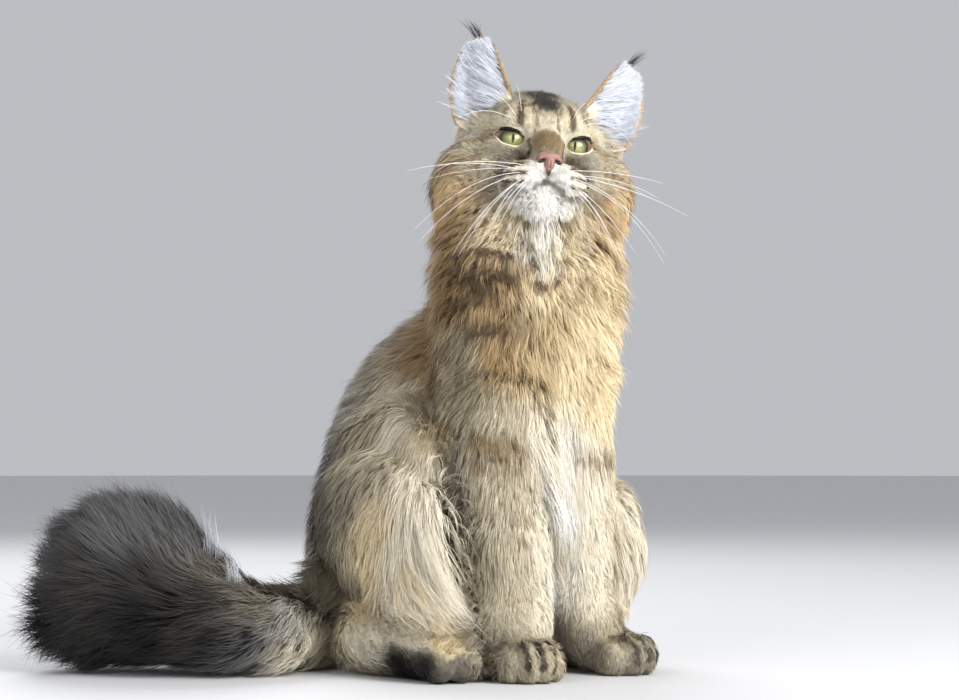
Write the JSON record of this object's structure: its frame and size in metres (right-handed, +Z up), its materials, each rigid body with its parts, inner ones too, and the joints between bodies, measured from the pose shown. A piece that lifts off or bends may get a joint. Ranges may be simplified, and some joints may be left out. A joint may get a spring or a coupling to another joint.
{
  "type": "maine coon cat",
  "caption": "Life-size still model of a sitting Maine Coon cat with a full ruff, tufted ears and a bushy tail curled on the floor.",
  "frame": {"origin": "on the floor under the middle of the cat's outline: x and y are the centre of the bounding box, z is the floor", "axes": "+Z up; -Y is the way the cat's body faces; -X is its right side, where the tail lies"},
  "size_m": [0.3818, 0.3525, 0.4583],
  "materials": {
    "coat": "long soft ticked fur, ginger, grey and cream",
    "ear": "short fur behind, long white hair inside",
    "tail_coat": "long loose smoke-grey fur with paler roots",
    "eye": "wet, yellow-green iris and dark slit pupil",
    "nose_leather": "bare, slightly moist, brick pink"
  },
  "bodies": {
    "root": {"chest": "coat", "ear_left": "ear", "ear_right": "ear", "eye_left": "eye", "eye_right": "eye", "foreleg_left": "coat", "foreleg_right": "coat", "forepaw_left": "coat", "forepaw_right": "coat", "head": "coat", "hindfoot_left": "coat", "hindfoot_right": "coat", "loin": "coat", "neck": "coat", "nose": "nose_leather", "rump": "coat", "shank_left": "coat", "shank_right": "coat", "shoulder_left": "coat", "shoulder_right": "coat", "tail_brush": "tail_coat", "tail_middle": "tail_coat", "tail_root": "tail_coat", "thigh_left": "coat", "thigh_right": "coat"}
  },
  "joints": []
}
